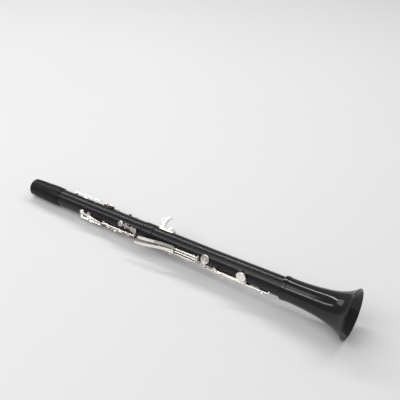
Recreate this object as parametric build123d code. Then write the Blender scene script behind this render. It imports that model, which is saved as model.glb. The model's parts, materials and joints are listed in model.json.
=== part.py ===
from build123d import *
import math
import os

# A ringless resin clarinet body: barrel, upper joint, lower joint and bell, with its keywork.
# Millimetres. +X runs along the bore from the barrel's top face, at x = 0, to the bell's rim.
# phi is the angle round the bore in degrees: 0 is the finger side, +90 the player's left and
# 180 the thumb side. r is the distance from the bore's axis.

# ---- driving dimensions -------------------------------------------------------------------
ROLL = 132.0  # the instrument lies finger side down: phi = 0 points to -Y and -Z
X_BARREL = 65.0  # lower end of the barrel
X_MIDDLE = 243.0  # where the lower joint's socket meets the upper joint's shoulder
X_SOCKET = 264.0  # end of the thick socket wall of the lower joint
X_BELL = 494.0  # where the bell's socket meets the lower joint's shoulder
X_RIM = 600.0  # the bell's rim
X_FLARE = 380.0  # below here the lower joint widens towards the bell

R_BODY = 14.4  # outside of both joints
R_BODY_END = 15.7  # outside of the lower joint at the bell
R_SOCKET = 15.6  # outside of the middle socket
R_RIM = 39.0  # the bell's rim
R_BORE = 7.35
R_BORE_END = 9.2  # bore at the lower end of the lower joint

MOUTHPIECE_R = 11.75  # mouthpiece socket
MOUTHPIECE_DEPTH = 18.0
TENON_R = 10.9
TENON_LENGTH = 17.0
CORK_R = 11.7
SOCKET_R = 11.75
BELL_TENON_R = 12.4
BELL_CORK_R = 13.2
BELL_SOCKET_R = 13.25
CORK_INSET = 3.5  # cork stands this far in from each end of its tenon
TUNING_GAP = 0.4  # end clearance of every tenon in its socket

ROD_R = 0.75
POST_HOLE_R = 0.77
TUBE_BORE_R = 0.80
TUBE_R = 1.40
POST_BALL_R = 2.0
POST_STEM_R = 1.15
POST_FOOT_R = 2.1
HINGE_RISE = 3.1  # hinge line above the body
HINGE_RISE_LOW = 2.6  # the same at the widest place of the lower joint's taper

RIM_RISE = 0.5  # a tone hole's rim above the body
PAD_GAP = 0.06  # a closed pad above its rim
PAD_T = 2.0
PAD_PROUD = 0.4  # pad below its cup's lip
CUP_WALL = 0.55
CUP_ROOF = 0.8
CUP_DOME = 0.45
CHIMNEY_RISE = 2.6  # a finger hole's chimney above the body
CHIMNEY_R = 4.9
RING_IN = 5.5
RING_OUT = 6.9
RING_T = 1.2
ARM_W = 2.6
ARM_T = 1.3


def body_r(x):
    """Outside radius of the joint at x."""
    if x <= X_FLARE:
        return R_BODY
    part_way = (x - X_FLARE) / (X_BELL - X_FLARE)
    return R_BODY + (R_BODY_END - R_BODY) * part_way


def spot(x, phi, r):
    """A local frame at x, phi, r: its x along the bore, its y to the left, its z outwards."""
    a = math.radians(ROLL - phi)
    out = (0, -math.sin(a), math.cos(a))
    at = (x, r * out[1], r * out[2])
    return Plane(origin=at, x_dir=(1, 0, 0), z_dir=out).location


def point(x, phi, r):
    return spot(x, phi, r).position


def outwards(phi):
    a = math.radians(ROLL - phi)
    return Vector(0, -math.sin(a), math.cos(a))


def drum(radius, height, low=0.0):
    """A cylinder that stands on z = low."""
    return Pos(0, 0, low + height / 2) * Cylinder(radius, height)


def turned(outline):
    """A solid turned about the bore from an outline of (x, r) points."""
    wire = Polyline([(x, 0, r) for x, r in outline], close=True)
    return revolve(make_face(wire), Axis.X)


def pipe(x0, x1, r_out, r_in):
    """A tube along the bore's axis."""
    return turned([(x0, r_in), (x0, r_out), (x1, r_out), (x1, r_in)])


def fused(pieces):
    whole = pieces[0]
    for piece in pieces[1:]:
        whole = whole + piece
    return whole


def bar(route, width=ARM_W, thick=ARM_T):
    """A flat bar with rounded ends along a route of (x, phi, r) points."""
    made = []
    for x, phi, r in route:
        made.append(spot(x, phi, r) * drum(width / 2, thick, -thick / 2))
    for a, b in zip(route, route[1:]):
        p = point(*a)
        q = point(*b)
        run = q - p
        up = outwards(a[1]) + outwards(b[1])
        frame = Plane(origin=(p + q) * 0.5, x_dir=run, z_dir=up - run * (up.dot(run) / run.dot(run)))
        made.append(frame.location * Box(run.length, width, thick))
    return fused(made)


def plate(x, phi, r, length, width, turn=0.0, thick=1.4, corner=None):
    """A rounded touch plate, soft on its edges; turn swings it round its own middle."""
    corner = corner or 0.45 * min(length, width)
    flat = extrude(RectangleRounded(length, width, corner), thick)
    flat = fillet(flat.edges().group_by(Axis.Z)[-1], 0.4)
    return spot(x, phi, r) * Rot(0, 0, turn) * flat


def dished(shape, x, phi, r, radius, depth=0.5):
    """Hollows a touch a little, as a finger expects."""
    ball = Sphere(radius)
    return shape - spot(x, phi, r + radius - depth) * ball


# ---- the four tubes -----------------------------------------------------------------------
def barrel():
    lip = 1.6
    outer = [(0, 12.4), (lip, 14.2), (9, 14.75), (27, 15.3), (46, 16.0), (56, 15.95), (X_BARREL, 15.2)]
    crown = Spline([(x, 0, r) for x, r in outer[1:]])
    edge = Line((0, 0, 12.9), (lip, 0, 14.2))
    start = X_BARREL - TENON_LENGTH - TUNING_GAP
    hollow = Polyline(
        (X_BARREL, 0, 15.2),
        (X_BARREL, 0, SOCKET_R),
        (start, 0, SOCKET_R),
        (start, 0, R_BORE),
        (MOUTHPIECE_DEPTH, 0, R_BORE),
        (MOUTHPIECE_DEPTH, 0, MOUTHPIECE_R),
        (0, 0, MOUTHPIECE_R),
        (0, 0, 12.9),
    )
    return revolve(make_face(Curve() + [crown, edge, hollow]), Axis.X)


# A tone hole: x, phi, hole radius, rim radius, height of the rim above the body.
def tone_hole_rim(x, phi, hole, rim, rise):
    base = body_r(x)
    root = rim + 1.0
    cone = Solid.make_cone(root, rim, rise + 3.0)
    return spot(x, phi, base - 3.0) * cone


def tone_hole_cut(x, phi, hole, rise):
    return spot(x, phi, 0) * drum(hole, body_r(x) + rise + 1.0)


UPPER_PADS = [
    # x, phi, hole radius, cup radius
    (88.0, 180.0, 1.7, 4.6),
    (120.0, 6.0, 2.6, 4.7),
    (124.0, 52.0, 2.4, 4.5),
    (152.5, -171.0, 2.4, 4.3),
    (190.5, -2.0, 2.5, 4.3),
    (205.0, 77.0, 2.6, 4.6),
    (219.0, -58.0, 2.4, 4.3),
    (109.0, -54.0, 2.3, 4.3),
    (126.0, -54.0, 2.4, 4.3),
    (143.0, -54.0, 2.5, 4.3),
    (160.0, -54.0, 2.6, 4.3),
]
LOWER_PADS = [
    (302.5, -2.0, 2.6, 4.4),
    (331.0, -58.0, 2.8, 4.5),
    (368.0, 69.0, 4.6, 7.25),
    (433.0, 62.0, 5.4, 8.25),
    (438.0, -36.0, 5.5, 8.0),
    (466.0, -18.0, 5.7, 8.25),
]
UPPER_FINGERS = [(178.0, 3.3), (203.0, 3.6), (226.5, 3.9)]
LOWER_FINGERS = [(290.0, 3.7), (315.0, 3.9), (342.0, 3.8)]
THUMB = (166.0, 180.0, 3.6)


def with_tone_holes(tube, pads, fingers):
    for x, phi, hole, cup in pads:
        tube = tube + tone_hole_rim(x, phi, hole, min(hole + 1.1, cup - 1.3), RIM_RISE)
    for x, hole in fingers:
        tube = tube + spot(x, 0, body_r(x) - 3) * Solid.make_cone(CHIMNEY_R + 0.1, hole + 0.9, 3 + CHIMNEY_RISE)
    return tube


def cut_tone_holes(tube, pads, fingers):
    for x, phi, hole, _ in pads:
        tube = tube - tone_hole_cut(x, phi, hole, RIM_RISE)
    for x, hole in fingers:
        tube = tube - tone_hole_cut(x, 0, hole, CHIMNEY_RISE)
    return tube


def upper_joint():
    top = X_BARREL - TENON_LENGTH
    low = X_MIDDLE + TENON_LENGTH
    step = 0.8
    outer = turned(
        [
            (top, 0),
            (top, TENON_R),
            (X_BARREL, TENON_R),
            (X_BARREL, R_BODY - step),
            (X_BARREL + step, R_BODY),
            (X_MIDDLE - step, R_BODY),
            (X_MIDDLE, R_BODY - step),
            (X_MIDDLE, TENON_R),
            (low, TENON_R),
            (low, 0),
        ]
    )
    tube = with_tone_holes(outer, UPPER_PADS, UPPER_FINGERS)
    tube = tube - pipe(top - 1, low + 1, R_BORE, 0.0)
    tube = cut_tone_holes(tube, UPPER_PADS, UPPER_FINGERS)
    x, phi, hole = THUMB
    tube = tube - spot(x, phi, 0) * drum(hole, R_BODY + 1)
    tube = tube - spot(x, phi, 10.0) * drum(CHIMNEY_R, R_BODY)
    for a, b in ((top, X_BARREL), (X_MIDDLE, low)):
        tube = tube - cork_bed(a, b, TENON_R)
    return tube


CORK_DEPTH = 0.7


def cork_bed(a, b, radius):
    return pipe(a + CORK_INSET, b - CORK_INSET, radius + 1, radius - CORK_DEPTH)


def cork(a, b, radius, cork_r):
    return pipe(a + CORK_INSET, b - CORK_INSET, cork_r, radius - CORK_DEPTH)


def lower_joint():
    low = X_BELL + TENON_LENGTH
    step = 0.8
    socket_end = X_MIDDLE + TENON_LENGTH + TUNING_GAP
    rise = 1.2
    outer = turned(
        [
            (X_MIDDLE, 0),
            (X_MIDDLE, R_SOCKET - step),
            (X_MIDDLE + step, R_SOCKET - 0.2),
            (X_MIDDLE + 6, R_SOCKET),
            (X_SOCKET - 6, R_SOCKET),
            (X_SOCKET - rise, R_SOCKET - 0.3),
            (X_SOCKET, R_BODY),
            (X_FLARE, R_BODY),
            (X_BELL, R_BODY_END),
            (X_BELL, BELL_TENON_R),
            (low, BELL_TENON_R),
            (low, 0),
        ]
    )
    tube = with_tone_holes(outer, LOWER_PADS, LOWER_FINGERS)
    tube = tube - pipe(X_MIDDLE - 1, socket_end, SOCKET_R, 0.0)
    bore = turned(
        [(socket_end - 1, 0), (socket_end - 1, R_BORE), (X_FLARE, R_BORE), (low + 1, R_BORE_END), (low + 1, 0)]
    )
    tube = tube - bore
    tube = cut_tone_holes(tube, LOWER_PADS, LOWER_FINGERS)
    return tube - cork_bed(X_BELL, low, BELL_TENON_R)


def bell():
    ring_end = 501.0
    waist = [(504.5, 17.85), (519, 18.2), (542, 19.9), (553, 21.3), (565, 23.3), (576, 26.2), (587, 31.0)]
    flare = waist + [(594, 35.3), (598.2, 38.6)]
    outer = Spline([(x, 0, r) for x, r in flare])
    lip = ThreePointArc((598.2, 0, 38.6), (599.7, 0, 38.9), (X_RIM, 0, 37.6))
    inner_points = [(X_RIM, 37.6), (594, 31.8), (585, 25.0), (570, 18.4), (550, 13.8), (530, 11.2), (512.5, 9.4)]
    inner = Spline([(x, 0, r) for x, r in inner_points])
    depth = X_BELL + TENON_LENGTH + TUNING_GAP
    socket = Polyline(
        (512.5, 0, 9.4),
        (depth, 0, 9.4),
        (depth, 0, BELL_SOCKET_R),
        (X_BELL, 0, BELL_SOCKET_R),
        (X_BELL, 0, 17.7),
        (X_BELL + 0.8, 0, 18.5),
        (ring_end - 0.6, 0, 18.5),
        (ring_end + 0.4, 0, 17.9),
        (504.5, 0, 17.85),
    )
    return revolve(make_face(Curve() + [outer, lip, inner, socket]), Axis.X)


# ---- pieces of the keywork ----------------------------------------------------------------
LIP = RIM_RISE + PAD_GAP + PAD_PROUD  # a closed cup's lip above the body
CUP_DEPTH = PAD_T - PAD_PROUD
CUP_TOP = LIP + CUP_DEPTH + CUP_ROOF


def cup(x, phi, radius):
    """A key cup: a shallow drum, open towards the body, with a slightly domed roof."""
    base = body_r(x) + LIP
    height = CUP_DEPTH + CUP_ROOF
    shell = drum(radius, height)
    shell = fillet(shell.edges().group_by(Axis.Z)[-1], 0.7)
    ball_r = (radius * radius + CUP_DOME * CUP_DOME) / (2 * CUP_DOME)
    dome = Pos(0, 0, height + CUP_DOME - ball_r) * Sphere(ball_r)
    dome = dome & drum(radius - 0.75, CUP_DOME + 0.3, height - 0.3)
    shell = shell + dome - drum(radius - CUP_WALL, CUP_DEPTH, 0.0)
    return spot(x, phi, base) * shell


def pad(x, phi, radius):
    """The pad in a cup, with its ring mark pressed by the tone hole's rim."""
    base = body_r(x) + RIM_RISE + PAD_GAP
    disc = drum(radius - CUP_WALL - 0.03, PAD_T)
    disc = fillet(disc.edges().group_by(Axis.Z)[0], 0.3)
    return spot(x, phi, base) * disc


def ring(x, phi=0.0, rise=CHIMNEY_RISE - RING_T):
    """A finger ring round a chimney, its top level with the chimney's when it is down."""
    hoop = drum(RING_OUT, RING_T) - drum(RING_IN, RING_T)
    hoop = fillet(hoop.edges().group_by(Axis.Z)[-1], 0.35)
    return spot(x, phi, body_r(x) + rise) * hoop


def along_bore(x0, x1, phi, r, radius):
    """A cylinder parallel to the bore."""
    return spot((x0 + x1) / 2, phi, r) * Rot(0, 90, 0) * Cylinder(radius, x1 - x0)


def hinge_r(x0, x1):
    """A hinge line clears the widest body that it passes."""
    return R_BODY + HINGE_RISE if x1 < X_FLARE + 25 else body_r(x1) + HINGE_RISE_LOW


class Hinge:
    """A hinge line along the bore: where its tube runs, and how its key moves."""

    def __init__(self, x0, x1, phi, sense, travel, open_at_rest=False):
        self.x0, self.x1, self.phi = x0, x1, phi
        self.sense, self.travel, self.open_at_rest = sense, travel, open_at_rest
        self.r = hinge_r(x0, x1)

    def settle(self, shape):
        """A key that stands open rests its full travel back from the closed place."""
        if not self.open_at_rest:
            return shape
        pivot = Axis(point(self.x0, self.phi, self.r), (1, 0, 0))
        return shape.rotate(pivot, -self.sense * self.travel)


def cup_room(x, phi, radius):
    """The space inside a cup, which no arm enters."""
    return spot(x, phi, body_r(x) + LIP) * drum(radius - CUP_WALL, CUP_DEPTH + 2.0, -2.0)


def long_key(name, solids, holes=()):
    """A key on a long hinge tube, bored for its rod and open under its cup and round its finger holes."""
    h = HINGES[name]
    shape = fused([along_bore(h.x0, h.x1, h.phi, h.r, TUBE_R)] + solids)
    for x, phi in holes:
        shape = shape - spot(x, phi, R_BODY) * drum(RING_IN, HINGE_RISE)
    shape = shape - along_bore(h.x0 - 1, h.x1 + 1, h.phi, h.r, TUBE_BORE_R)
    if name in KEY_PADS:
        x, phi, _, radius = KEY_PADS[name]
        shape = shape - cup_room(x, phi, radius)
    return h.settle(shape)


ARM_RISE = 0.55  # an arm lies this far above the hinge line, so its root sits on the tube


def arm_to_cup(x_root, hinge, x, phi):
    """An arm from the hinge tube, rising over the edge of the cup to its middle."""
    top = body_r(x) + CUP_TOP + 0.35
    root = (x_root, hinge.phi, hinge.r + ARM_RISE)
    reach = (x, phi, top)
    return bar([root, reach], ARM_W, ARM_T)


# Hinge lines: x0, x1, phi, sense of the pressing turn about +X, travel in degrees, open at rest.
HINGES = {
    "thumb_ring_key": Hinge(148.0, 174.0, -149.0, 1, 7.0, True),
    "upper_ring_key": Hinge(171.0, 231.0, 36.0, 1, 7.0, True),
    "upper_sliver_key": Hinge(208.0, 224.0, -31.0, -1, 11.0),
    "side_trill_key_1": Hinge(156.0, 236.0, -82.0, 1, 12.0),
    "side_trill_key_2": Hinge(139.0, 225.0, -95.0, 1, 10.0),
    "side_trill_key_3": Hinge(122.0, 214.0, -108.0, 1, 8.0),
    "side_trill_key_4": Hinge(105.0, 203.0, -121.0, 1, 7.0),
    "lower_ring_key": Hinge(284.0, 349.0, 28.0, 1, 7.0, True),
    "lower_sliver_key": Hinge(320.0, 337.0, -31.0, -1, 11.0),
    "left_e_lever": Hinge(309.0, 352.0, 48.0, -1, 9.0),
    "left_fsharp_lever": Hinge(309.0, 352.0, 62.0, -1, 9.0),
    "aflat_eflat_key": Hinge(361.0, 391.0, 2.0, 1, 11.0),
    "e_b_key": Hinge(375.0, 476.0, 15.0, 1, 13.0, True),
    "fsharp_csharp_key": Hinge(386.0, 437.0, 28.0, -1, 13.0, True),
    "f_c_key": Hinge(409.0, 445.0, 0.5, 1, 13.0, True),
}


def throat_key(pivot_x, phi, cup_x, cup_phi, cup_radius, touch):
    """A short rocking key: a cross tube, an arm up to its cup and a touch towards the bell."""
    pivot_r = R_BODY + HINGE_RISE
    tube = spot(pivot_x, phi, pivot_r) * Rot(90, 0, 0) * Cylinder(TUBE_R, 5.0)
    route = [(cup_x, cup_phi, R_BODY + CUP_TOP + 0.35), (pivot_x, phi, pivot_r + 0.9), touch]
    return tube + cup(cup_x, cup_phi, cup_radius) + bar(route, 3.0, 1.5) - cup_room(cup_x, cup_phi, cup_radius)


def throat_bore(pivot_x, phi):
    return spot(pivot_x, phi, R_BODY + HINGE_RISE) * Rot(90, 0, 0) * Cylinder(TUBE_BORE_R, 12)


ROCKERS = {
    # x and phi of the pivot
    "register_key": (112.0, 180.0),
    "throat_a_key": (134.0, 4.0),
    "throat_gsharp_key": (138.0, 47.0),
    "csharp_gsharp_key": (216.0, 77.0),
}
ROCKER_TRAVEL = {
    "register_key": 6.0,
    "throat_a_key": 7.0,
    "throat_gsharp_key": 7.0,
    "csharp_gsharp_key": 9.0,
}


def register_key():
    x, phi = ROCKERS["register_key"]
    shape = throat_key(x, phi, 88.0, phi, 4.6, (128.0, phi, R_BODY + 4.6))
    pad_end = plate(134.5, phi, R_BODY + 4.0, 20.0, 8.0, thick=1.5, corner=3.6)
    shape = shape + dished(pad_end, 136.0, phi, R_BODY + 5.5, 60.0, 0.45)
    return shape - throat_bore(x, phi)


def throat_a_key():
    x, phi = ROCKERS["throat_a_key"]
    shape = throat_key(x, phi, 120.0, 6.0, 4.7, (144.0, 2.0, R_BODY + 4.4))
    touch = plate(152.0, 0.0, R_BODY + 3.8, 19.0, 6.6, thick=1.5, corner=3.2)
    return shape + dished(touch, 152.0, 0.0, R_BODY + 5.3, 50.0, 0.35) - throat_bore(x, phi)


def throat_gsharp_key():
    x, phi = ROCKERS["throat_gsharp_key"]
    shape = throat_key(x, phi, 124.0, 52.0, 4.5, (148.0, 40.0, R_BODY + 4.4))
    touch = plate(156.0, 33.0, R_BODY + 3.8, 20.0, 6.0, turn=-8.0, thick=1.5, corner=2.9)
    return shape + dished(touch, 156.0, 33.0, R_BODY + 5.3, 50.0, 0.35) - throat_bore(x, phi)


def csharp_gsharp_key():
    x, phi = ROCKERS["csharp_gsharp_key"]
    shape = throat_key(x, phi, 205.0, 77.0, 4.6, (226.0, 74.0, R_BODY + 4.6))
    touch = plate(232.5, 71.0, R_BODY + 4.2, 14.0, 7.0, turn=-16.0, thick=1.5, corner=3.2)
    return shape + dished(touch, 232.5, 71.0, R_BODY + 5.7, 40.0, 0.35) - throat_bore(x, phi)


def thumb_ring_key():
    h = HINGES["thumb_ring_key"]
    x, phi, _ = THUMB
    vent_x, vent_phi, _, radius = KEY_PADS["thumb_ring_key"]
    solids = [ring(x, phi), cup(vent_x, vent_phi, radius), arm_to_cup(vent_x, h, vent_x, vent_phi)]
    solids.append(bar([(x, h.phi, h.r), (x, RING_EDGE - 180.0, R_BODY + CHIMNEY_RISE - 0.25)], 4.0, 1.0))
    return long_key("thumb_ring_key", solids, [(x, phi)])


# How far round the bore a ring's outer edge lies from its middle.
RING_EDGE = math.degrees(math.asin((RING_OUT - 0.3) / (R_BODY + CHIMNEY_RISE)))


def ring_key(name, rings, vent_x, vent_phi, vent_radius):
    """Rings and a vent cup on one hinge tube."""
    h = HINGES[name]
    solids = [cup(vent_x, vent_phi, vent_radius), arm_to_cup(vent_x, h, vent_x, vent_phi)]
    for x, _ in rings:
        solids.append(ring(x))
        solids.append(bar([(x, h.phi, h.r), (x, RING_EDGE, R_BODY + CHIMNEY_RISE - 0.25)], 4.0, 1.0))
    return long_key(name, solids, [(x, 0.0) for x, _ in rings])


def sliver_key(name, touch_x, touch_phi, length, cup_at, cup_radius):
    h = HINGES[name]
    x, phi = cup_at
    touch = plate(touch_x, touch_phi, R_BODY + 2.9, length, 3.6, thick=1.3, corner=1.6)
    solids = [cup(x, phi, cup_radius), arm_to_cup(x, h, x, phi), touch]
    solids.append(bar([(touch_x, h.phi, h.r + 0.3), (touch_x, touch_phi, R_BODY + 3.5)], 3.0, 1.2))
    return long_key(name, solids)


def side_trill_key(number):
    """A long side key: its cup reaches towards the finger side, its touch towards the thumb."""
    name = f"side_trill_key_{number}"
    h = HINGES[name]
    cup_x = h.x0 + 4.0
    touch_x = h.x1 - 3.4
    touch_phi = h.phi - 24.0
    touch = plate(touch_x, touch_phi, R_BODY + 4.3, 6.6, 6.4, thick=1.5, corner=2.2)
    solids = [cup(cup_x, -54.0, 4.3), touch]
    steps = [(cup_x, h.phi, h.r + 0.9), (cup_x, -54.0, R_BODY + CUP_TOP + 0.35)]
    if h.phi < -90:
        middle = (h.phi - 54.0) / 2
        steps.insert(1, (cup_x, middle, h.r + 1.0))
    solids.append(bar(steps, ARM_W, ARM_T))
    solids.append(bar([(touch_x, h.phi, h.r + 0.7), (touch_x, touch_phi, R_BODY + 5.0)], 3.2, 1.3))
    return long_key(name, solids)


LEVER_W = 4.8  # width of a left-hand lever's touch
TAIL_W = 1.5
TAIL_RISE = 1.35  # the E lever's tail runs this low, under the A flat key's arm


def left_lever(name, route, tail):
    """A left-hand little-finger lever: a long curved touch, and a tail towards its key."""
    h = HINGES[name]
    root_x = h.x0 + 3.0
    riser = [(root_x, h.phi, h.r + 1.0), (root_x, route[0][1], route[0][2])]
    solids = [bar(riser, 4.0, 1.5), bar([riser[1]] + route, LEVER_W, 1.7)]
    solids.append(bar([(tail[0][0], h.phi, h.r)] + tail, TAIL_W, 1.2))
    return long_key(name, solids)


def left_e_lever():
    low = R_BODY + TAIL_RISE
    route = [(303.0, 52.0, 21.9), (292.0, 51.0, 23.8), (278.0, 48.0, 26.2), (262.0, 44.5, 28.6), (246.0, 42.0, 29.7)]
    tail = [(344.0, 40.0, low + 0.7), (349.0, 38.6, low), (357.0, 38.0, low), (378.0, 29.0, low)]
    return left_lever("left_e_lever", route, tail)


def left_fsharp_lever():
    route = [(303.0, 69.2, 21.6), (291.0, 67.5, 22.2), (276.0, 64.0, 23.5), (260.0, 60.5, 24.7), (250.0, 59.0, 25.2)]
    tail = [(349.5, 73.0, R_BODY + HINGE_RISE + 0.2)]
    return left_lever("left_fsharp_lever", route, tail)


def aflat_eflat_key():
    h = HINGES["aflat_eflat_key"]
    touch = plate(387.0, -26.0, R_BODY + 3.6, 12.0, 8.5, thick=1.6, corner=2.4)
    x, phi, _, radius = KEY_PADS["aflat_eflat_key"]
    solids = [cup(x, phi, radius), dished(touch, 387.0, -26.0, R_BODY + 5.2, 35.0, 0.4)]
    route = [(x, h.phi, h.r + 0.6), (x, 22.0, h.r + 0.9), (x, 46.0, h.r + 0.9), (x, phi - 2.0, R_BODY + 4.1)]
    solids.append(bar(route, 3.2, 1.4))
    solids.append(bar([(387.0, h.phi, h.r + 0.4), (387.0, -22.0, R_BODY + 4.2)], 3.4, 1.3))
    return long_key("aflat_eflat_key", solids)


def e_b_key():
    h = HINGES["e_b_key"]
    touch = plate(399.0, -52.0, R_BODY + 3.6, 13.0, 8.0, thick=1.6, corner=2.4)
    x, phi, _, radius = KEY_PADS["e_b_key"]
    solids = [cup(x, phi, radius), dished(touch, 399.0, -52.0, R_BODY + 5.2, 35.0, 0.4)]
    solids.append(bar([(x, h.phi, h.r + 0.6), (x, phi + 2.0, body_r(x) + CUP_TOP + 0.4)], 3.2, 1.4))
    route = [(399.0, h.phi, h.r + 0.7), (399.0, -10.0, h.r + 1.4), (399.0, -34.0, h.r + 1.4)]
    solids.append(bar(route + [(399.0, -50.0, R_BODY + 4.3)], 3.2, 1.4))
    solids.append(bar([(377.0, h.phi, h.r + 0.5), (377.0, 27.0, h.r + 0.5)], 3.0, 1.3))
    return long_key("e_b_key", solids)


def f_c_key():
    h = HINGES["f_c_key"]
    touch = plate(414.0, -38.0, body_r(414.0) + 3.8, 12.0, 8.0, thick=1.6, corner=2.4)
    x, phi, _, radius = KEY_PADS["f_c_key"]
    solids = [cup(x, phi, radius), dished(touch, 414.0, -38.0, body_r(414.0) + 5.4, 35.0, 0.4)]
    solids.append(bar([(x, h.phi, h.r + 0.6), (x, phi + 2.0, body_r(x) + CUP_TOP + 0.4)], 3.2, 1.4))
    solids.append(bar([(414.0, h.phi, h.r + 0.6), (414.0, -34.0, body_r(414.0) + 4.6)], 3.2, 1.4))
    return long_key("f_c_key", solids)


def fsharp_csharp_key():
    h = HINGES["fsharp_csharp_key"]
    x, phi, _, radius = KEY_PADS["fsharp_csharp_key"]
    solids = [cup(x, phi, radius)]
    solids.append(bar([(x, h.phi, h.r + 0.6), (x, phi - 2.0, body_r(x) + CUP_TOP + 0.4)], 3.2, 1.4))
    solids.append(bar([(389.0, h.phi, h.r + 0.6), (389.0, 44.0, h.r + 0.7)], 3.0, 1.3))
    return long_key("fsharp_csharp_key", solids)


# ---- posts, rods and springs ----------------------------------------------------------------
def post(x, phi, r):
    """A turned post on the body, its ball bored for the rod."""
    base = body_r(x)
    height = r - base
    foot = drum(POST_FOOT_R, 1.3, -0.8)
    stem = Solid.make_cone(POST_FOOT_R - 0.3, POST_STEM_R, height)
    shape = foot + stem + Pos(0, 0, height) * Sphere(POST_BALL_R)
    shape = shape - Pos(0, 0, height) * Rot(0, 90, 0) * Cylinder(POST_HOLE_R, 8)
    shape = spot(x, phi, base) * shape
    return shape - turned([(x - 9, 0), (x - 9, body_r(x - 9)), (x + 9, body_r(x + 9)), (x + 9, 0)])


END_GAP = 0.15  # end play of a hinge tube between its posts


def post_places(name):
    h = HINGES[name]
    reach = POST_BALL_R + END_GAP
    return [(h.x0 - reach, h.phi, h.r), (h.x1 + reach, h.phi, h.r)]


def rocker_saddle(name):
    """A saddle with two lugs that carries a rocking key's cross rod."""
    x, phi = ROCKERS[name]
    rise = HINGE_RISE
    lug_w = 1.6
    solid = Pos(0, 0, -0.4) * Box(6.0, 2 * (2.5 + END_GAP + lug_w), 1.9)
    for side in (-1, 1):
        y = side * (2.5 + END_GAP + lug_w / 2)
        lug = Pos(0, y, rise / 2) * Box(4.0, lug_w, rise)
        eye = Pos(0, y, rise) * Rot(90, 0, 0) * Cylinder(2.0, lug_w)
        solid = solid + lug + eye
    solid = solid - Pos(0, 0, rise) * Rot(90, 0, 0) * Cylinder(POST_HOLE_R, 14)
    return spot(x, phi, R_BODY) * solid - turned([(x - 9, 0), (x - 9, R_BODY), (x + 9, R_BODY), (x + 9, 0)])


def rod(x0, x1, phi, r):
    """A hinge rod with a slotted end."""
    length = x1 - x0
    bare = Pos(0, 0, 0) * Rot(0, 90, 0) * Cylinder(ROD_R, length)
    slot = Pos(length / 2, 0, 0) * Box(0.8, 0.3, 2 * ROD_R)
    return spot((x0 + x1) / 2, phi, r) * (bare - slot)


def cross_rod(name):
    x, phi = ROCKERS[name]
    length = 2 * (2.5 + END_GAP + 1.6) - 0.2
    bare = Rot(90, 0, 0) * Cylinder(ROD_R, length)
    slot = Pos(0, length / 2, 0) * Box(0.3, 0.8, 2 * ROD_R)
    return spot(x, phi, R_BODY + HINGE_RISE) * (bare - slot)


SPRING_R = 0.2
SPRING_RISE = 0.85


def needle_spring(name):
    """A needle spring from the lower post, lying under its hinge tube."""
    h = HINGES[name]
    length = min(16.0, h.x1 - h.x0 - 6)
    x1 = h.x1 + END_GAP + 0.8
    return along_bore(x1 - length, x1, h.phi, body_r(x1) + SPRING_RISE, SPRING_R)


# ---- thumb rest and inserts ---------------------------------------------------------------
REST_X = 281.0
REST_LENGTH = 32.0
REST_T = 1.6
REST_SCREWS = (-13.0, 13.0)
STRAP_RING_R = 3.1
STRAP_RING_AT = (-11.8, 13.0)  # along the bore from the rest's middle, and above the body


def thumb_rest():
    """A saddle plate that rises to a tall hook over the thumb, with an upright strap ring above it."""
    outline = spot(REST_X, 180.0, 0) * extrude(RectangleRounded(REST_LENGTH, 12.0, 5.0), R_BODY + 5)
    foot = outline & pipe(REST_X - REST_LENGTH, REST_X + REST_LENGTH, R_BODY + REST_T, R_BODY)
    rise = [(-10.4, 1.2), (-9.4, 6), (-8.5, 13), (-6.0, 19.5), (-2.0, 21)]
    fall = [(-1.6, 19.4), (-4.6, 17.8), (-6.6, 12.4), (-7.4, 6), (-6, 0.6)]
    curl = [(2, 1.2), (5.5, 5.6), (9.5, 6.8), (9.9, 5.6), (7.0, 4.0), (5.0, 0.6)]
    hook = extrude(make_face(Polyline([(x, 0, z) for x, z in rise + fall], close=True)), 5.0, both=True)
    tail = extrude(make_face(Polyline([(x, 0, z) for x, z in curl], close=True)), 3.5, both=True)
    ring_x, ring_z = STRAP_RING_AT
    hoop = Pos(ring_x, 0, ring_z) * Rot(90, 0, 0) * (Cylinder(5.3, 2.2) - Cylinder(STRAP_RING_R, 3))
    hoop = fillet(hoop.edges().filter_by(GeomType.CIRCLE), 0.7)
    shape = foot + spot(REST_X, 180.0, R_BODY) * (hook + tail + hoop)
    for sx in REST_SCREWS:
        shape = shape - spot(REST_X + sx, 180.0, 0) * drum(1.05, R_BODY + 9)
    return shape - pipe(REST_X - 30, REST_X + 30, R_BODY, 0.0)


def thumb_rest_screws():
    """Round-headed screws, each with a slot."""
    screws = []
    for sx in REST_SCREWS:
        head = Pos(0, 0, REST_T) * (Sphere(1.9) & Pos(0, 0, 1.5) * Box(6, 6, 3))
        screw = head + drum(1.0, REST_T + 4.2, -4.2) - Pos(0, 0, REST_T + 1.8) * Box(4.2, 0.45, 1.0)
        screws.append(spot(REST_X + sx, 180.0, R_BODY) * screw)
    return screws


def register_tube():
    """The metal tube under the register key's pad, reaching into the bore."""
    inner = 4.6
    tube = drum(1.6, R_BODY + RIM_RISE - inner, inner) - drum(0.9, R_BODY + 2, 0)
    return spot(88.0, 180.0, 0) * tube


def thumb_tube():
    """The thumb hole's raised insert."""
    x, phi, hole = THUMB
    tube = drum(CHIMNEY_R, R_BODY + CHIMNEY_RISE - 10.0, 10.0) - drum(hole, R_BODY + 9, 0)
    tube = fillet(tube.edges().group_by(Axis.Z)[-1], 0.35)
    return spot(x, phi, 0) * tube


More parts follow.
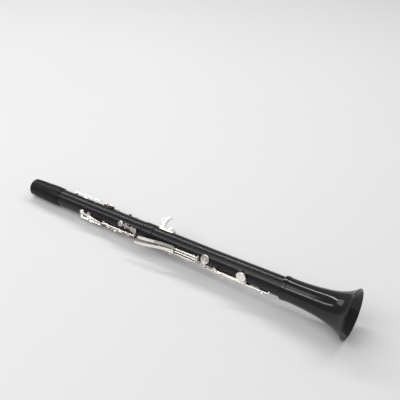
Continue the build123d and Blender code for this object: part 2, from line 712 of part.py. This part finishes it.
# ---- write every node -----------------------------------------------------------------------
KEYS = {
    "register_key": register_key,
    "throat_a_key": throat_a_key,
    "throat_gsharp_key": throat_gsharp_key,
    "csharp_gsharp_key": csharp_gsharp_key,
    "thumb_ring_key": thumb_ring_key,
    "upper_ring_key": lambda: ring_key("upper_ring_key", UPPER_FINGERS[:2], 190.5, -2.0, 4.3),
    "upper_sliver_key": lambda: sliver_key("upper_sliver_key", 214.5, -7.0, 8.5, (219.0, -58.0), 4.3),
    "side_trill_key_1": lambda: side_trill_key(1),
    "side_trill_key_2": lambda: side_trill_key(2),
    "side_trill_key_3": lambda: side_trill_key(3),
    "side_trill_key_4": lambda: side_trill_key(4),
    "lower_ring_key": lambda: ring_key("lower_ring_key", LOWER_FINGERS, 302.5, -2.0, 4.4),
    "lower_sliver_key": lambda: sliver_key("lower_sliver_key", 328.5, -7.0, 11.0, (331.0, -58.0), 4.5),
    "left_e_lever": left_e_lever,
    "left_fsharp_lever": left_fsharp_lever,
    "aflat_eflat_key": aflat_eflat_key,
    "e_b_key": e_b_key,
    "fsharp_csharp_key": fsharp_csharp_key,
    "f_c_key": f_c_key,
}
KEY_PADS = {
    "register_key": UPPER_PADS[0],
    "throat_a_key": UPPER_PADS[1],
    "throat_gsharp_key": UPPER_PADS[2],
    "thumb_ring_key": UPPER_PADS[3],
    "upper_ring_key": UPPER_PADS[4],
    "csharp_gsharp_key": UPPER_PADS[5],
    "upper_sliver_key": UPPER_PADS[6],
    "side_trill_key_4": UPPER_PADS[7],
    "side_trill_key_3": UPPER_PADS[8],
    "side_trill_key_2": UPPER_PADS[9],
    "side_trill_key_1": UPPER_PADS[10],
    "lower_ring_key": LOWER_PADS[0],
    "lower_sliver_key": LOWER_PADS[1],
    "aflat_eflat_key": LOWER_PADS[2],
    "fsharp_csharp_key": LOWER_PADS[3],
    "f_c_key": LOWER_PADS[4],
    "e_b_key": LOWER_PADS[5],
}


def key_pad(name):
    x, phi, _, radius = KEY_PADS[name]
    shape = pad(x, phi, radius)
    if name in HINGES:
        shape = HINGES[name].settle(shape)
    return shape


def group(solids):
    return Compound(children=[s for piece in solids for s in piece.solids()])


def write(name, shape):
    export_step(shape, f"parts/{name}.step")


def main():
    os.makedirs("parts", exist_ok=True)
    write("barrel", barrel())
    write("upper_joint", upper_joint() - spot(88.0, 180.0, 0) * drum(1.6, R_BODY + 3, 0))
    screw_holes = fused([spot(REST_X + s, 180, R_BODY - 4.2) * drum(1.0, 9) for s in REST_SCREWS])
    write("lower_joint", lower_joint() - screw_holes)
    write("bell", bell())
    write("upper_tenon_cork", cork(X_BARREL - TENON_LENGTH, X_BARREL, TENON_R, CORK_R))
    write("middle_tenon_cork", cork(X_MIDDLE, X_MIDDLE + TENON_LENGTH, TENON_R, CORK_R))
    write("bell_tenon_cork", cork(X_BELL, X_BELL + TENON_LENGTH, BELL_TENON_R, BELL_CORK_R))
    write("register_tube", register_tube())
    write("thumb_tube", thumb_tube())
    write("thumb_rest", thumb_rest())
    write("thumb_rest_screws", group(thumb_rest_screws()))

    for joint, low, high in (("upper", 0, X_MIDDLE), ("lower", X_MIDDLE, X_BELL)):
        names = [n for n, h in HINGES.items() if low <= h.x0 < high]
        rockers = [n for n, (x, _) in ROCKERS.items() if low <= x < high]
        places = [p for n in names for p in post_places(n)]
        posts = fused([post(*place) for place in places] + [rocker_saddle(n) for n in rockers])
        reach = 2 * POST_BALL_R + END_GAP - 0.2
        rods = [rod(HINGES[n].x0 - reach, HINGES[n].x1 + reach, HINGES[n].phi, HINGES[n].r) for n in names]
        rods = rods + [cross_rod(n) for n in rockers]
        write(f"{joint}_posts", group([posts]))
        write(f"{joint}_hinge_rods", group(rods))
        write(f"{joint}_needle_springs", group([needle_spring(n) for n in names]) - posts)

    for name, make in KEYS.items():
        write(name, make())
    for name in KEY_PADS:
        write(name.replace("_key", "_pad"), key_pad(name))


main()
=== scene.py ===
import bpy
import bmesh
import json
import math
import numpy as np
from mathutils import Matrix, Vector

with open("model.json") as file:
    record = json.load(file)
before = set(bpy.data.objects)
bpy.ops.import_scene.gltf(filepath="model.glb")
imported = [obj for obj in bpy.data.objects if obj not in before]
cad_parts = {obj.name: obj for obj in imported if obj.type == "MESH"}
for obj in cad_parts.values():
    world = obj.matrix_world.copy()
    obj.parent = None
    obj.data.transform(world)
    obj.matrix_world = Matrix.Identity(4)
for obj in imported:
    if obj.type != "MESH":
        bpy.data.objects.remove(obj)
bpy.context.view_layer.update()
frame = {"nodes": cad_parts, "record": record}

# ---- driving values (metres, degrees) ----------------------------------------------------
CAMERA_FOOT = 0.793  # along the bore: where the camera's perpendicular meets the axis
CAMERA_REACH = 0.945  # from the bore's axis to the camera
CAMERA_RISE = 47.26  # how far that perpendicular rises above the level
CAMERA_PAN = -32.89  # from straight across the bore, turned to the barrel
CAMERA_TILT = 38.45  # down from the floor's level
LENS_MM = 60.55
SENSOR_MM = 36.0
FLOOR_SIZE = 12.0
BELL_REACH = 0.1  # the bell's flare is left out when the keywork's lowest point is sought
FLOOR_GAP = 0.0002  # below the rim, so that the two never share a plane
FLOOR_TONE = (0.700, 0.694, 0.702)
FLOOR_MOTTLE = 1.012  # the floor's lighter patches
# width of the band of painted highlight along the plated keys' edges
EDGE_HIGHLIGHT_WIDTH_M = 0.0003
RESIN_WARMTH = (1.25, 1.08, 1.15)  # the resin's streaks against its clouds
# colour of the painted highlight along the plated keys' edges
PAINTED_EDGE_HIGHLIGHT = (0.97, 0.965, 0.94)
WORLD_STRENGTH = 0.35
LIGHT_TARGET = (0.3, 0.0, 0.0)
LIGHTS = {
    # name: place, size along the bore and across it, watts
    "top_strip": ((0.0, 0.9, 1.4), (2.6, 0.16), 17.0),
    "front_strip": ((-0.4, -1.25, 1.35), (2.0, 0.22), 10.0),
    "overhead": ((0.4, -0.9, 2.0), (2.2, 1.4), 19.0),
    "barrel_side": ((-1.5, 0.4, 1.2), (1.0, 0.5), 4.0),
}


# ---- node materials ------------------------------------------------------------------------
class Nodes:
    """A material's node tree, with short calls for the nodes used here."""

    def __init__(self, name):
        self.mat = bpy.data.materials.new(name)
        self.mat.use_nodes = True
        self.tree = self.mat.node_tree
        self.shader = self.tree.nodes["Principled BSDF"]
        self.coord = self.add("ShaderNodeTexCoord").outputs["Object"]

    def add(self, kind, **values):
        node = self.tree.nodes.new(kind)
        for key, value in values.items():
            setattr(node, key, value)
        return node

    def link(self, a, b):
        self.tree.links.new(a, b)

    def mapped(self, scale):
        node = self.add("ShaderNodeMapping")
        node.inputs["Scale"].default_value = scale
        self.link(self.coord, node.inputs["Vector"])
        return node.outputs["Vector"]

    def noise(self, vector, scale, detail=4.0, rough=0.55):
        node = self.add("ShaderNodeTexNoise")
        node.inputs["Scale"].default_value = scale
        node.inputs["Detail"].default_value = detail
        node.inputs["Roughness"].default_value = rough
        self.link(vector, node.inputs["Vector"])
        return node.outputs["Fac"]

    def cells(self, vector, scale):
        node = self.add("ShaderNodeTexVoronoi")
        node.inputs["Scale"].default_value = scale
        self.link(vector, node.inputs["Vector"])
        return node.outputs["Distance"]

    def ramp(self, fac, stops):
        node = self.add("ShaderNodeValToRGB")
        band = node.color_ramp
        while len(band.elements) < len(stops):
            band.elements.new(0.5)
        for element, (at, colour) in zip(band.elements, stops):
            element.position = at
            element.color = (*colour, 1.0)
        self.link(fac, node.inputs["Fac"])
        return node.outputs["Color"]

    def spread(self, fac, low, high):
        node = self.add("ShaderNodeMapRange")
        node.inputs["To Min"].default_value = low
        node.inputs["To Max"].default_value = high
        self.link(fac, node.inputs["Value"])
        return node.outputs["Result"]

    def mix(self, fac, a, b):
        """fac is a socket, or one number for the whole surface."""
        node = self.add("ShaderNodeMix", data_type="RGBA")
        if isinstance(fac, float):
            node.inputs["Factor"].default_value = fac
        else:
            self.link(fac, node.inputs["Factor"])
        self.link(a, node.inputs[6])
        if isinstance(b, tuple):
            node.inputs[7].default_value = (*b, 1.0)
        else:
            self.link(b, node.inputs[7])
        return node.outputs[2]

    def edge_highlight_mask(self, width):
        """1 along edges, 0 on open faces: the mask of the painted edge highlight."""
        node = self.add("ShaderNodeBevel", samples=4)
        node.inputs["Radius"].default_value = width
        geometry = self.add("ShaderNodeNewGeometry")
        dot = self.add("ShaderNodeVectorMath", operation="DOT_PRODUCT")
        self.link(node.outputs["Normal"], dot.inputs[0])
        self.link(geometry.outputs["Normal"], dot.inputs[1])
        out = self.add("ShaderNodeMapRange")
        out.inputs["From Min"].default_value = 0.995
        out.inputs["From Max"].default_value = 0.85
        self.link(dot.outputs["Value"], out.inputs["Value"])
        return out.outputs["Result"]

    def bump(self, height, strength, distance):
        node = self.add("ShaderNodeBump")
        node.inputs["Strength"].default_value = strength
        node.inputs["Distance"].default_value = distance
        self.link(height, node.inputs["Height"])
        self.link(node.outputs["Normal"], self.shader.inputs["Normal"])

    def set(self, **values):
        for key, value in values.items():
            self.shader.inputs[key.replace("_", " ")].default_value = value


def resin(name, dark, light, rough, sheen, coat, grain):
    """Black resin: clouded colour, rings left by turning, and a soft handled sheen."""
    n = Nodes(name)
    clouds = n.noise(n.mapped((1.0, 1.0, 1.0)), 22.0, 5.0)
    streaks = n.noise(n.mapped((9.0, 90.0, 90.0)), 6.0, 3.0, 0.6)
    rings = n.noise(n.mapped((900.0, 4.0, 4.0)), 2.0, 2.0)
    tone = n.ramp(clouds, [(0.3, dark), (0.72, light)])
    warm = tuple(c * f for c, f in zip(light, RESIN_WARMTH))
    tone = n.mix(n.spread(streaks, 0.0, 0.55), tone, warm)
    n.link(tone, n.shader.inputs["Base Color"])
    handled = n.noise(n.mapped((1.0, 3.0, 3.0)), 35.0, 6.0, 0.65)
    n.link(n.spread(handled, *rough), n.shader.inputs["Roughness"])
    n.bump(n.mix(0.35, rings, streaks), grain, 0.00008)
    n.set(IOR=1.5, Specular_IOR_Level=sheen, Coat_Weight=coat, Coat_Roughness=0.06)
    return n.mat


def plated(name, base, shade, rough, tarnish):
    """Silver plate: bright, faintly warm, duller in its hollows, and lifted towards white along its
    edges as a painted highlight.
    """
    n = Nodes(name)
    clouds = n.noise(n.mapped((1.0, 1.0, 1.0)), 70.0, 5.0, 0.6)
    fine = n.noise(n.mapped((40.0, 400.0, 400.0)), 9.0, 3.0, 0.6)
    tone = n.ramp(clouds, [(0.32, base), (0.62, shade), (0.85, tarnish)])
    # painted highlight: the plate's colour is mixed towards near-white along its edges
    tone = n.mix(n.edge_highlight_mask(EDGE_HIGHLIGHT_WIDTH_M), tone, PAINTED_EDGE_HIGHLIGHT)
    n.link(tone, n.shader.inputs["Base Color"])
    handled = n.noise(n.mapped((1.0, 1.0, 1.0)), 160.0, 5.0, 0.7)
    n.link(n.spread(handled, *rough), n.shader.inputs["Roughness"])
    n.bump(n.mix(0.3, fine, clouds), 0.10, 0.00006)
    n.set(Metallic=1.0)
    return n.mat


def steel(name, base, shade, rough):
    """Drawn metal: fine lines along the bore."""
    n = Nodes(name)
    lines = n.noise(n.mapped((30.0, 900.0, 900.0)), 6.0, 3.0)
    n.link(n.ramp(lines, [(0.35, base), (0.7, shade)]), n.shader.inputs["Base Color"])
    n.link(n.spread(lines, rough, rough + 0.16), n.shader.inputs["Roughness"])
    n.bump(lines, 0.12, 0.00005)
    n.set(Metallic=1.0)
    return n.mat


def skin_pad(name):
    """A pad's thin skin over felt: creamy, faintly wrinkled."""
    n = Nodes(name)
    wrinkles = n.noise(n.mapped((1.0, 1.0, 1.0)), 420.0, 6.0, 0.7)
    tone = n.ramp(wrinkles, [(0.3, (0.62, 0.52, 0.36)), (0.7, (0.86, 0.79, 0.64))])
    n.link(tone, n.shader.inputs["Base Color"])
    n.link(n.spread(wrinkles, 0.45, 0.7), n.shader.inputs["Roughness"])
    n.bump(wrinkles, 0.35, 0.00015)
    n.set(Sheen_Weight=0.25, Subsurface_Weight=0.08, Subsurface_Radius=(0.001, 0.0006, 0.0003))
    return n.mat


def cork_sheet(name):
    """Pressed cork: grains in several browns, with pits between them."""
    n = Nodes(name)
    grains = n.cells(n.mapped((1.0, 1.0, 1.0)), 900.0)
    pits = n.noise(n.mapped((1.0, 1.0, 1.0)), 1300.0, 4.0)
    stops = [(0.1, (0.30, 0.16, 0.07)), (0.35, (0.60, 0.39, 0.21)), (0.8, (0.74, 0.53, 0.32))]
    tone = n.mix(n.spread(pits, 0.0, 0.5), n.ramp(grains, stops), (0.42, 0.25, 0.12))
    n.link(tone, n.shader.inputs["Base Color"])
    n.link(n.spread(pits, 0.6, 0.85), n.shader.inputs["Roughness"])
    n.bump(pits, 0.5, 0.0002)
    return n.mat


SATIN_DARK = (0.003, 0.003, 0.0035)
SATIN_LIGHT = (0.008, 0.0078, 0.0088)
BODY_DARK = (0.004, 0.0035, 0.005)
BODY_LIGHT = (0.009, 0.0075, 0.0105)
GLOSS_DARK = (0.003, 0.003, 0.0035)
GLOSS_LIGHT = (0.008, 0.0078, 0.0085)

MATERIALS = {
    "barrel_resin": resin("barrel_resin", SATIN_DARK, SATIN_LIGHT, (0.34, 0.50), 0.17, 0.02, 0.10),
    "body_resin": resin("body_resin", BODY_DARK, BODY_LIGHT, (0.20, 0.33), 0.30, 0.05, 0.07),
    "bell_resin": resin("bell_resin", GLOSS_DARK, GLOSS_LIGHT, (0.09, 0.16), 0.36, 0.10, 0.03),
    "insert_resin": resin("insert_resin", SATIN_DARK, SATIN_LIGHT, (0.28, 0.42), 0.25, 0.03, 0.06),
    "key_plate": plated(
        "key_plate", (0.93, 0.915, 0.87), (0.86, 0.83, 0.75), (0.12, 0.26), (0.66, 0.58, 0.42)
    ),
    "post_plate": plated(
        "post_plate", (0.89, 0.87, 0.82), (0.80, 0.76, 0.67), (0.15, 0.32), (0.56, 0.48, 0.34)
    ),
    "thumb_rest_plate": plated(
        "thumb_rest_plate", (0.90, 0.88, 0.83), (0.81, 0.77, 0.68), (0.17, 0.34), (0.58, 0.50, 0.36)
    ),
    "rod_steel": steel("rod_steel", (0.62, 0.62, 0.61), (0.48, 0.47, 0.45), 0.22),
    "spring_steel": steel("spring_steel", (0.10, 0.14, 0.26), (0.16, 0.18, 0.24), 0.28),
    "tube_brass": steel("tube_brass", (0.78, 0.58, 0.26), (0.62, 0.44, 0.2), 0.26),
    "key_pad": skin_pad("key_pad"),
    "cork": cork_sheet("cork"),
}
slot_of = {s["node"]: s["material_slot"] for s in frame["record"]["subparts"]}


def dress():
    """Gives every CAD node the material of its slot."""
    for name, node in frame["nodes"].items():
        material = MATERIALS[slot_of[name]]
        node.data.materials.clear()
        node.data.materials.append(material)


# ---- floor, lights and camera ----------------------------------------------------------------
def floor_slope():
    """The slope of the table under the part: it touches the bell's rim and the lowest keywork."""
    points = np.concatenate(
        [np.array([v.co for v in node.data.vertices], float) for node in frame["nodes"].values()]
    )
    rim = points[points[:, 2].argmin()]
    near = points[points[:, 0] < rim[0] - BELL_REACH]
    slope = ((near[:, 2] - rim[2]) / (rim[0] - near[:, 0])).min()
    return Vector(rim), math.atan(slope)


def make_floor(rim, slope):
    mesh = bpy.data.meshes.new("floor")
    build = bmesh.new()
    bmesh.ops.create_grid(build, x_segments=8, y_segments=8, size=FLOOR_SIZE / 2)
    build.to_mesh(mesh)
    build.free()
    floor = bpy.data.objects.new("floor", mesh)
    bpy.context.collection.objects.link(floor)
    floor.rotation_euler = (0.0, slope, 0.0)
    floor.location = rim - Vector((0.0, rim.y, FLOOR_GAP))
    n = Nodes("floor_paper")
    mottle = n.noise(n.mapped((1.0, 1.0, 1.0)), 3.0, 3.0)
    lighter = tuple(c * FLOOR_MOTTLE for c in FLOOR_TONE)
    n.link(n.ramp(mottle, [(0.3, FLOOR_TONE), (0.7, lighter)]), n.shader.inputs["Base Color"])
    n.link(n.spread(mottle, 0.75, 0.85), n.shader.inputs["Roughness"])
    n.set(Specular_IOR_Level=0.2)
    mesh.materials.append(n.mat)


def area_light(name, at, size, power):
    light = bpy.data.lights.new(name, "AREA")
    light.shape = "RECTANGLE"
    light.size, light.size_y = size
    light.energy = power
    lamp = bpy.data.objects.new(name, light)
    bpy.context.collection.objects.link(lamp)
    lamp.location = at
    lamp.rotation_euler = (Vector(LIGHT_TARGET) - Vector(at)).to_track_quat("-Z", "Y").to_euler()


def light_scene():
    """A pale studio: even soft light, and two long strips that draw lines of light down the body."""
    world = bpy.data.worlds.new("studio")
    world.use_nodes = True
    background = world.node_tree.nodes["Background"]
    background.inputs["Color"].default_value = (1.0, 0.99, 1.0, 1.0)
    background.inputs["Strength"].default_value = WORLD_STRENGTH
    bpy.context.scene.world = world
    for name, (at, size, power) in LIGHTS.items():
        area_light(name, at, size, power)
    bpy.context.scene.view_settings.view_transform = "Standard"


def make_camera(slope):
    """The camera stands level with the table, which slopes a little under the bore's frame."""
    rise = math.radians(CAMERA_RISE)
    pan, tilt = math.radians(CAMERA_PAN), math.radians(CAMERA_TILT)
    look = Vector((math.sin(pan) * math.cos(tilt), math.cos(pan) * math.cos(tilt), -math.sin(tilt)))
    level = Matrix.Rotation(slope, 3, "Y")
    look = level @ look
    up = level @ Vector((0.0, 0.0, 1.0))
    right = look.cross(up).normalized()
    top = right.cross(look)
    camera = bpy.data.objects.new("camera", bpy.data.cameras.new("camera"))
    bpy.context.collection.objects.link(camera)
    turn = Matrix((right, top, -look)).transposed().to_4x4()
    place = Vector((CAMERA_FOOT, -CAMERA_REACH * math.cos(rise), CAMERA_REACH * math.sin(rise)))
    camera.matrix_world = Matrix.Translation(place) @ turn
    camera.data.lens = LENS_MM
    camera.data.sensor_width = SENSOR_MM
    camera.data.clip_start = 0.01
    bpy.context.scene.camera = camera


dress()
rim_point, table_slope = floor_slope()
make_floor(rim_point, table_slope)
light_scene()
make_camera(table_slope)
